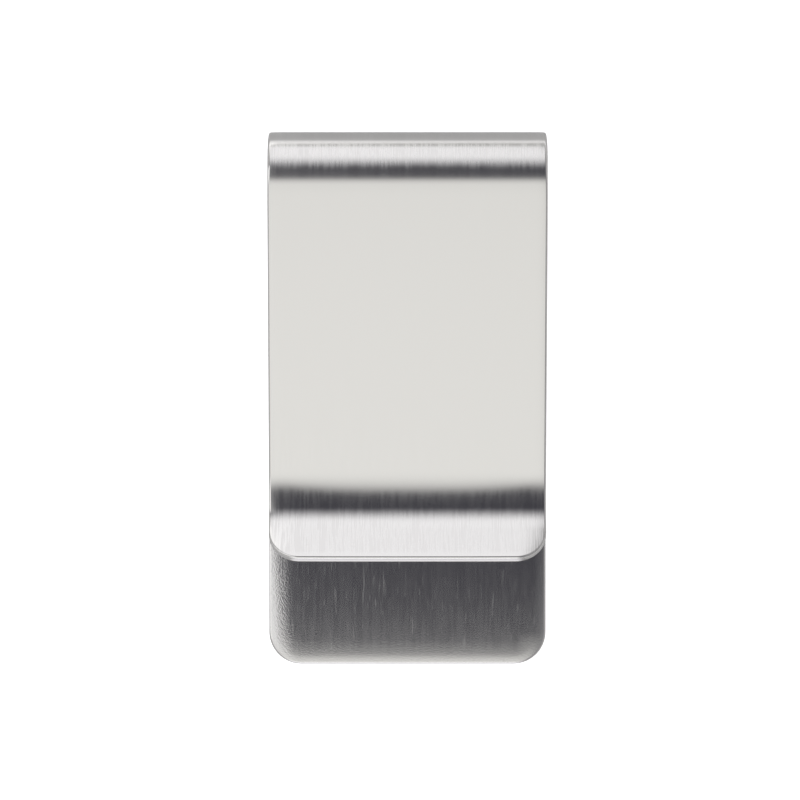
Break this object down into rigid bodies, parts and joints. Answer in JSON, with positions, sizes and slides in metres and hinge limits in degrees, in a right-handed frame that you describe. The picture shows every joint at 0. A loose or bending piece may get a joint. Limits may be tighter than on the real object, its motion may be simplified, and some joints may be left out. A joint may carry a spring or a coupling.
{
  "type": "money clip",
  "caption": "Slim metal money clip: a strip folded over on itself, with a sloping front leaf that pinches a flat back leaf and ends in a flared lip.",
  "frame": {"origin": "under the middle of the bounding box, on the plane the flat back leaf lies on", "axes": "+Y from the free ends to the fold, +Z from the back leaf to the front leaf, +X across the strip to the right seen from above with the fold away from the viewer"},
  "size_m": [0.0262, 0.05, 0.0074],
  "materials": {
    "brushed_steel": "fine satin brushing along the strip"
  },
  "bodies": {
    "back_leaf": {"back_plate": "brushed_steel", "fold_lower": "brushed_steel"},
    "front_leaf": {"fold_upper": "brushed_steel", "front_panel": "brushed_steel", "lip": "brushed_steel"}
  },
  "joints": [
    {"name": "leaf_flex", "type": "hinge", "parent": "back_leaf", "child": "front_leaf", "pos_m": [0, 0.0234, 0.0037], "axis": [-1, 0, 0], "range_deg": [0, 8], "stiffness_Nm_per_rad": 8.5, "springref_deg": -1.15}
  ]
}
